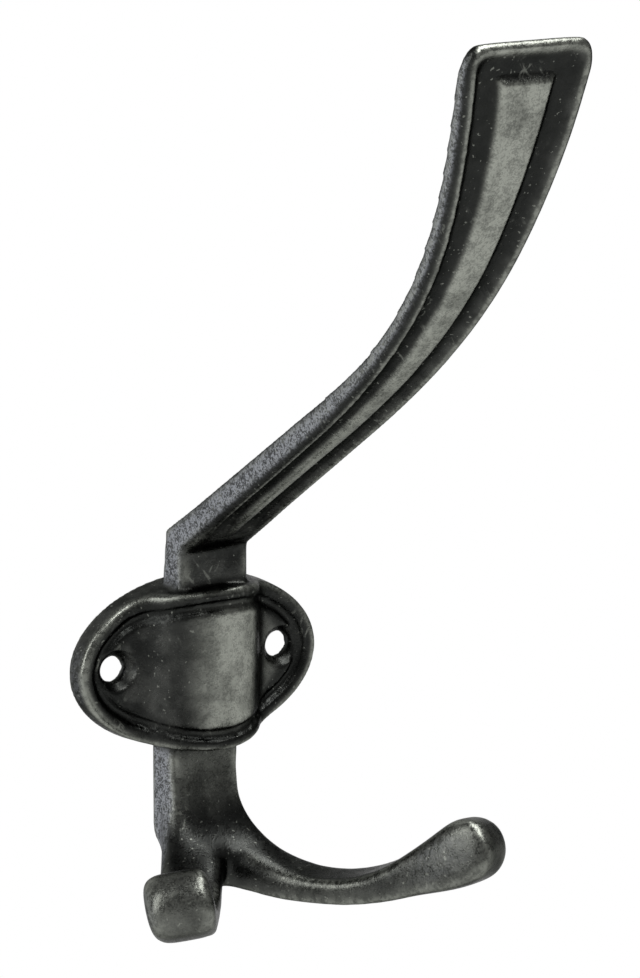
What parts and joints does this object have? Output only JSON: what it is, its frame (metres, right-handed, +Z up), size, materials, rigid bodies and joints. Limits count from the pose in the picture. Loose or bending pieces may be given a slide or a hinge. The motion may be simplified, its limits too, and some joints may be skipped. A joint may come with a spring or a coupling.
{
  "type": "hat and coat hook",
  "caption": "Cast triple hat and coat hook: oval screw plate with a half-round barrel, long ribbed upper arm with a flared end, and a pair of splayed lower prongs.",
  "frame": {"origin": "on the wall plane, midway between the two screws", "axes": "+X to the right seen from the front, +Y into the wall, +Z up; the arm and the prongs reach out along -Y"},
  "size_m": [0.073, 0.1026, 0.1596],
  "materials": {
    "antique_metal": "dark antique pewter, satin on the raised lines"
  },
  "bodies": {
    "root": {"hook": "antique_metal"}
  },
  "joints": []
}
